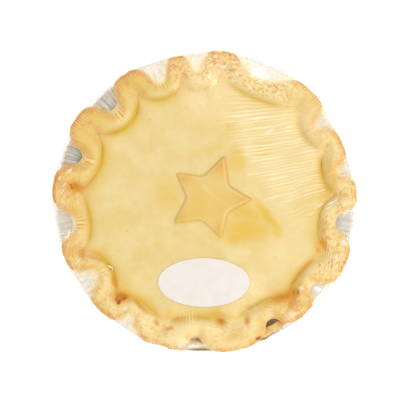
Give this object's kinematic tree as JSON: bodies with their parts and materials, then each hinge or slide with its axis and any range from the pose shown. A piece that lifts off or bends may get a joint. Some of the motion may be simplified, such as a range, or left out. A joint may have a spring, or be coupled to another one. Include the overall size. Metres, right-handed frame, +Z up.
{
  "type": "film-wrapped savoury pie",
  "caption": "Whole round savoury pie with a fluted crust and pastry star, baked in a pleated foil tin under clear film with a bare oval label.",
  "frame": {"origin": "centre of the tin's underside, where it stands", "axes": "+Z up through the lid; +Y towards the far side of the pie as seen from the label, which lies on the -Y side"},
  "size_m": [0.2297, 0.228, 0.0454],
  "materials": {
    "crust": "baked shortcrust pastry, dry and matt with a faint egg glaze",
    "star": "baked pastry, a little more golden than the lid",
    "foil": "bright pleated kitchen foil",
    "film": "thin clear wrapping film",
    "label": "smooth off-white label paper"
  },
  "bodies": {
    "root": {"pie": "crust", "star": "star", "tin": "foil", "film": "film", "label": "label"}
  },
  "joints": []
}
